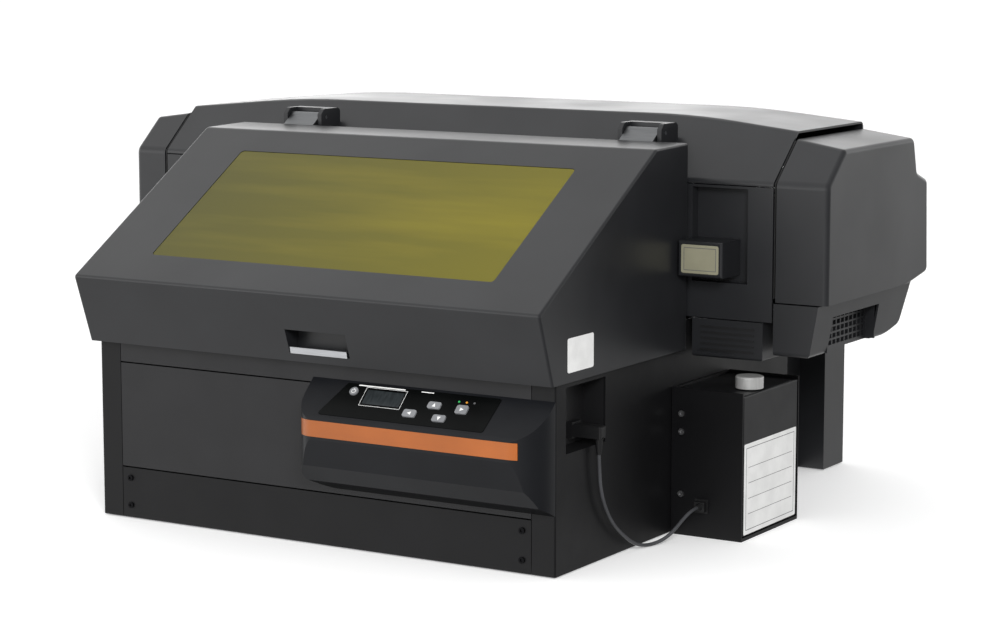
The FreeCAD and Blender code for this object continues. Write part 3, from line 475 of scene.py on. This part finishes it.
def arrow(angle, size):
    """Triangle that points along an angle in degrees."""
    turn = math.radians(angle)
    cosine, sine = math.cos(turn), math.sin(turn)
    outline = [(size, 0), (-size * 0.7, size * 0.8), (-size * 0.7, -size * 0.8)]
    return [(u * cosine - v * sine, u * sine + v * cosine) for u, v in outline]


def moved(outline, du, dv):
    return [(u + du, v + dv) for u, v in outline]


class Face:
    """A flat face of the printer: an origin, its right and up directions, and the body it rides on."""

    def __init__(self, origin, right, up, body):
        self.origin = Vector(origin)
        self.right = Vector(right).normalized()
        self.up = Vector(up).normalized()
        self.out = self.right.cross(self.up)
        self.body = body

    def point(self, u, v, lift):
        return self.origin + self.right * u + self.up * v + self.out * lift

    def plates(self, name, outlines, base, thickness, material, slot=None):
        """One piece of thin plates, each with an outline of (u, v) points and its foot at lift base."""
        mesh = bmesh.new()
        for outline in outlines:
            low = [mesh.verts.new(self.point(u, v, base)) for u, v in outline]
            high = [mesh.verts.new(self.point(u, v, base + thickness)) for u, v in outline]
            mesh.faces.new(high)
            mesh.faces.new(list(reversed(low)))
            for i, corner in enumerate(low):
                j = (i + 1) % len(low)
                mesh.faces.new((corner, low[j], high[j], high[i]))
        bmesh.ops.recalc_face_normals(mesh, faces=mesh.faces)
        data = bpy.data.meshes.new(name)
        mesh.to_mesh(data)
        mesh.free()
        data.materials.append(material)
        piece = bpy.data.objects.new(name, data)
        bpy.context.scene.collection.objects.link(piece)
        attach(piece, self.body)
        return piece


# thickness of a sticker, of the lines on a sticker, and of print straight on a part
SKIN = 0.00025
FORM_LINE = SKIN / 3
PRINT = 0.00015


def add_labels(white, cream, ink):
    """Blank stickers: thin plates, the larger ones with plain lines, none with words."""
    hood_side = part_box("hood_shell")[1].x
    cheek = Face((hood_side, -0.3745, 0.295), (0, 1, 0), (0, 0, 1), "hood")
    cheek.plates("cheek_label", [rounded_rectangle(0.069, 0.046, 0.003)], 0, SKIN, white)

    covers_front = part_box("gantry_front_covers")[0].y
    boss = Face((0.4245, covers_front, 0.393), (1, 0, 0), (0, 0, 1), "chassis")
    boss.plates("gantry_label", [rounded_rectangle(0.058, 0.04, 0.003)], 0, SKIN, cream)
    boss.plates("gantry_label_border", border(0.05, 0.032, 0.0008), SKIN, FORM_LINE, ink)

    tank_low, tank_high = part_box("waste_tank")
    middle = (tank_high.x, (tank_low.y + tank_high.y) / 2, 0.0725)
    tank = Face(middle, (0, 1, 0), (0, 0, 1), "waste_tank")
    tank.plates("tank_label", [rounded_rectangle(0.166, 0.129, 0.002)], 0, SKIN, white)
    form = border(0.154, 0.117, 0.0009) + rules(0.07, (0.03, 0.008, -0.014, -0.036), 0.0007)
    tank.plates("tank_label_form", form, SKIN, FORM_LINE, ink)


# directions out of and up the sloped top of the console
CONSOLE_OUT = Vector((0, -0.6916, 0.7223))
CONSOLE_UP = Vector((0, 0.7223, 0.6916))
# how far the top of a key, and of the display, stands out from the middle of its box
KEY_TOP = 0.0029
DISPLAY_TOP = 0.0011
PANEL_THICK = 0.0028
ARROWS = {"left_key": 180, "up_key": 90, "down_key": 270, "right_key": 0}
LAMP_RADIUS, LAMP_RAISED, LAMP_ROW = 0.0016, 0.0005, -0.012


def console_face(node, lift, body):
    low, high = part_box(node)
    return Face((low + high) / 2 + CONSOLE_OUT * lift, (1, 0, 0), CONSOLE_UP, body)


def add_console_marks(white, ink, green, amber):
    """Marks on the keys, three small lamps, two white strips of painted highlight along the panel's back
    edge and a frame on the display.
    """
    for key, angle in ARROWS.items():
        face = console_face(key, KEY_TOP, key)
        face.plates(key + "_mark", [arrow(angle, 0.0034)], 0, PRINT, white)
    power = console_face("power_key", KEY_TOP, "power_key")
    symbol = ring(0.0036, 0.0028, 125, 415) + [bar(-0.0005, 0.0005, 0.0012, 0.0042)]
    power.plates("power_key_mark", symbol, 0, PRINT, white)

    panel_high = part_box("console_panel")[1]
    back_edge = Vector((0, panel_high.y + CONSOLE_OUT.y * PANEL_THICK, panel_high.z))
    panel = Face(back_edge, (1, 0, 0), CONSOLE_UP, "chassis")
    lamps = [(0.240, "ready_lamp", green), (0.252, "busy_lamp", amber), (0.264, "fault_lamp", ink)]
    for x, name, material in lamps:
        lamp = moved(disc(LAMP_RADIUS), x, LAMP_ROW)
        panel.plates(name, [lamp], 0, LAMP_RAISED, material)
    # painted highlight: two white strips just below the back edge of the panel
    lines = [bar(0.075, 0.15, -0.0032, -0.0014), bar(0.176, 0.196, -0.0032, -0.0018)]
    panel.plates("panel_edge_highlight", lines, 0, PRINT, white)
    screen = console_face("console_display", DISPLAY_TOP, "chassis")
    screen.plates("display_frame", border(0.066, 0.031, 0.0005), 0, PRINT, white)


HOLE_COLUMNS, HOLE_ROWS, HOLE_PITCH, HOLE_RADIUS = 25, 17, 0.021, 0.0011


def add_table_details(dark, ink):
    """Vacuum holes, drawn as flat dark discs of painted shade, and a border line on the printing table."""
    low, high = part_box("table_top")
    middle = ((low.x + high.x) / 2, (low.y + high.y) / 2, high.z)
    table = Face(middle, (1, 0, 0), (0, 1, 0), "table")
    across = [(i - (HOLE_COLUMNS - 1) / 2) * HOLE_PITCH for i in range(HOLE_COLUMNS)]
    along = [(j - (HOLE_ROWS - 1) / 2) * HOLE_PITCH for j in range(HOLE_ROWS)]
    # painted shade: the holes are not cut; flat dark discs on the table top stand in for them
    holes = [moved(disc(HOLE_RADIUS, 10), x, y) for x in across for y in along]
    table.plates("table_vacuum_hole_shade", holes, 0, PRINT, dark, "black_plastic")
    table.plates("table_border_line", border(0.535, 0.365, 0.0008), 0, PRINT, ink)


# ---------------------------------------------------------------- seams, vents and inner details

# the two edges of a seam strip, as (y, z) points from the front foot up and over to the back
SEAM_OUTER = [(-0.0692, 0.34), (-0.0692, 0.4994), (-0.0068, 0.5545), (0.214, 0.5545)]
SEAM_INNER = [(-0.0602, 0.34), (-0.0602, 0.495), (-0.0035, 0.545), (0.214, 0.545)]
SEAM_WIDTH = 0.0016


def add_seam_strips(rubber):
    """Rubber strips standing in the seams between the top cover and the end caps."""
    runs = [[SEAM_OUTER[i], SEAM_INNER[i], SEAM_INNER[i + 1], SEAM_OUTER[i + 1]]
            for i in range(len(SEAM_OUTER) - 1)]
    for name, x in (("right_seam_strip", 0.519), ("left_seam_strip", -0.541)):
        face = Face((x, 0, 0), (0, 1, 0), (0, 0, 1), "chassis")
        face.plates(name, runs, -SEAM_WIDTH / 2, SEAM_WIDTH, rubber, "black_rubber")


FILTER_THICK = 0.002
FAN_BLADES, BLADE_PITCH, BLADE_ARC = 7, 51.4, 34


def add_vents(foam, dark, white, ink):
    """Filter foam behind the skirt and gantry vents, the rear fan and the blank rear plate."""
    for name, side in (("right_skirt_filter", 1), ("left_skirt_filter", -1)):
        skirt = Face((side * 0.5588, 0.067, 0.2865), (0, side, 0), (0, 0, 1), "chassis")
        skirt.plates(name, [bar(-0.079, 0.079, -0.0245, 0.0245)], -0.0025, FILTER_THICK, foam)
    gantry = Face((-0.34, 0.272, 0.3995), (-1, 0, 0), (0, 0, 1), "chassis")
    gantry.plates("gantry_vent_filter", [bar(-0.17, 0.17, -0.03, 0.03)], 0, FILTER_THICK, foam)

    fan = Face((0.2, 0.46, 0.13), (-1, 0, 0), (0, 0, 1), "chassis")
    fan.plates("rear_fan_frame", ring(0.064, 0.056, 0, 360, 36), 0, 0.01, dark, "black_plastic")
    blades = [disc(0.0205)]
    for i in range(FAN_BLADES):
        blades += ring(0.053, 0.02, i * BLADE_PITCH, i * BLADE_PITCH + BLADE_ARC, 5)
    fan.plates("rear_fan_blades", blades, 0.003, 0.004, dark, "black_plastic")

    rear = Face((-0.06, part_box("rear_cover")[1].y, 0.11), (-1, 0, 0), (0, 0, 1), "chassis")
    rear.plates("rear_plate", [rounded_rectangle(0.09, 0.05, 0.002)], 0, SKIN, white)
    form = border(0.082, 0.042, 0.0006) + rules(0.037, (0.01, 0.0, -0.01), 0.0006)
    rear.plates("rear_plate_form", form, SKIN, FORM_LINE, ink)


def add_tray_louvres(dark):
    """Raised ribs across the front of the maintenance tray."""
    low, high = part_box("maintenance_tray")
    middle = ((low.x + high.x) / 2, low.y, (low.z + high.z) / 2)
    front = Face(middle, (1, 0, 0), (0, 0, 1), "chassis")
    rib = rounded_rectangle(0.084, 0.003, 0.0012)
    ribs = [moved(rib, 0, v) for v in (-0.016, -0.008, 0.0, 0.008, 0.016)]
    front.plates("tray_louvres", ribs, 0, 0.0009, dark, "black_plastic")


INKS = [
    ("black_ink", (0.01, 0.01, 0.01)),
    ("cyan_ink", (0.0, 0.25, 0.55)),
    ("magenta_ink", (0.5, 0.01, 0.17)),
    ("yellow_ink", (0.75, 0.55, 0.01)),
    ("white_ink", (0.75, 0.75, 0.75)),
    ("clear_ink", (0.35, 0.35, 0.33)),
]
FIRST_CARTRIDGE, CARTRIDGE_PITCH = -0.49025, 0.0166
HEADS = (0.417, 0.465)
CAP_TOP = 0.303


def add_cartridge_tabs():
    """One colour tab on each cartridge."""
    cartridges_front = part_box("ink_cartridges")[0].y
    bay = Face((0, cartridges_front, 0.275), (1, 0, 0), (0, 0, 1), "chassis")
    outline = rounded_rectangle(0.009, 0.028, 0.002)
    for i, (name, colour) in enumerate(INKS):
        tab = moved(outline, FIRST_CARTRIDGE + CARTRIDGE_PITCH * i, 0)
        bay.plates(name + "_tab", [tab], 0, SKIN, paper(name, colour).material)


def add_print_details(steel, dark, foam):
    """Nozzle plates, lamp windows, ribs on the carriage front and capping pads."""
    head_plate, nozzle_depth = 0.0002, 0.00005
    under = Face((0, 0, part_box("print_carriage")[0].z), (1, 0, 0), (0, -1, 0), "carriage")
    heads = [moved(rounded_rectangle(0.032, 0.038, 0.002), x, 0.009) for x in HEADS]
    under.plates("nozzle_plates", heads, 0, head_plate, steel, "steel")
    rows = [bar(x + d, x + d + 0.0006, -0.006, 0.024) for x in HEADS for d in (-0.009, -0.003, 0.003, 0.009)]
    under.plates("nozzle_rows", rows, head_plate, nozzle_depth, dark, "black_plastic")

    lamps = Face((0, 0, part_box("uv_lamps")[0].z), (1, 0, 0), (0, -1, 0), "carriage")
    glass = paper("lamp_glass", (0.12, 0.09, 0.3)).material
    windows = [moved(rounded_rectangle(0.009, 0.05, 0.001), x, 0.01) for x in (0.368, 0.512)]
    lamps.plates("lamp_windows", windows, 0, 0.0003, glass)

    plate = 0.0008
    front = Face((0.44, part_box("print_carriage")[0].y, 0.40), (1, 0, 0), (0, 0, 1), "carriage")
    front.plates("carriage_plate", [rounded_rectangle(0.1, 0.09, 0.004)], 0, plate, dark, "black_plastic")
    ribs = rules(0.035, (-0.03, -0.024, -0.018, -0.012), 0.002)
    front.plates("carriage_ribs", ribs, plate, plate, dark, "black_plastic")

    caps = Face((0, 0, CAP_TOP), (1, 0, 0), (0, 1, 0), "cap_station")
    pads = [moved(rounded_rectangle(0.024, 0.03, 0.001), x, -0.009) for x in HEADS]
    caps.plates("capping_pads", pads, 0.0001, 0.0022, foam)


# ---------------------------------------------------------------- sensor cable

CABLE_MM = 5.0
# from the plug in the side recess down to the floor and up again to the plug on the waste box
CABLE_ROUTE_MM = [
    (391.0, -333.0, 152.0), (391.4, -332.0, 129.0), (390.8, -327.0, 101.0), (391.5, -314.0, 73.0),
    (391.0, -292.0, 48.0), (392.2, -264.0, 27.0), (393.0, -235.0, 10.5), (395.5, -209.0, 3.4),
    (402.0, -188.0, 3.9), (410.5, -174.0, 10.0), (418.5, -165.5, 20.5), (425.0, -158.5, 31.5),
    (430.0, -149.0, 40.5), (432.4, -138.0, 44.6), (432.5, -127.5, 45.3),
]


def add_cable(material):
    data = bpy.data.curves.new("sensor_cable_flex", "CURVE")
    data.dimensions = "3D"
    data.resolution_u = 12
    data.bevel_depth = CABLE_MM * MM / 2
    data.bevel_resolution = 5
    data.use_fill_caps = True
    spline = data.splines.new("NURBS")
    spline.points.add(len(CABLE_ROUTE_MM) - 1)
    for point, place in zip(spline.points, CABLE_ROUTE_MM):
        point.co = (*(c * MM for c in place), 1.0)
    spline.order_u = 3
    spline.use_endpoint_u = True
    data.materials.append(material)
    cable = bpy.data.objects.new("sensor_cable_flex", data)
    bpy.context.scene.collection.objects.link(cable)
    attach(cable, "chassis")
    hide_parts("sensor_cable")


# ---------------------------------------------------------------- whole scene

add_camera()
finishes = build_materials()
soften_edges()
add_studio()
add_floor()
add_cable(finishes["cable_jacket"].material)
dark = finishes["black_plastic"].material
white = paper("white_label", (0.82, 0.82, 0.81)).material
cream = paper("cream_label", (0.245, 0.235, 0.165)).material
ink = paper("grey_print", (0.09, 0.09, 0.095)).material
green = paper("green_lamp", (0.03, 0.4, 0.1)).material
amber = paper("amber_lamp", (0.6, 0.25, 0.02)).material
foam = soft_rubber("filter_foam", (0.012, 0.012, 0.013), 0.9).material
pad_foam = soft_rubber("pad_foam", (0.35, 0.34, 0.32), 0.9).material
add_labels(white, cream, ink)
add_console_marks(white, ink, green, amber)
add_table_details(dark, ink)
add_tray_louvres(dark)
add_seam_strips(finishes["black_rubber"].material)
add_vents(foam, dark, white, ink)
add_cartridge_tabs()
add_print_details(finishes["steel"].material, dark, pad_foam)
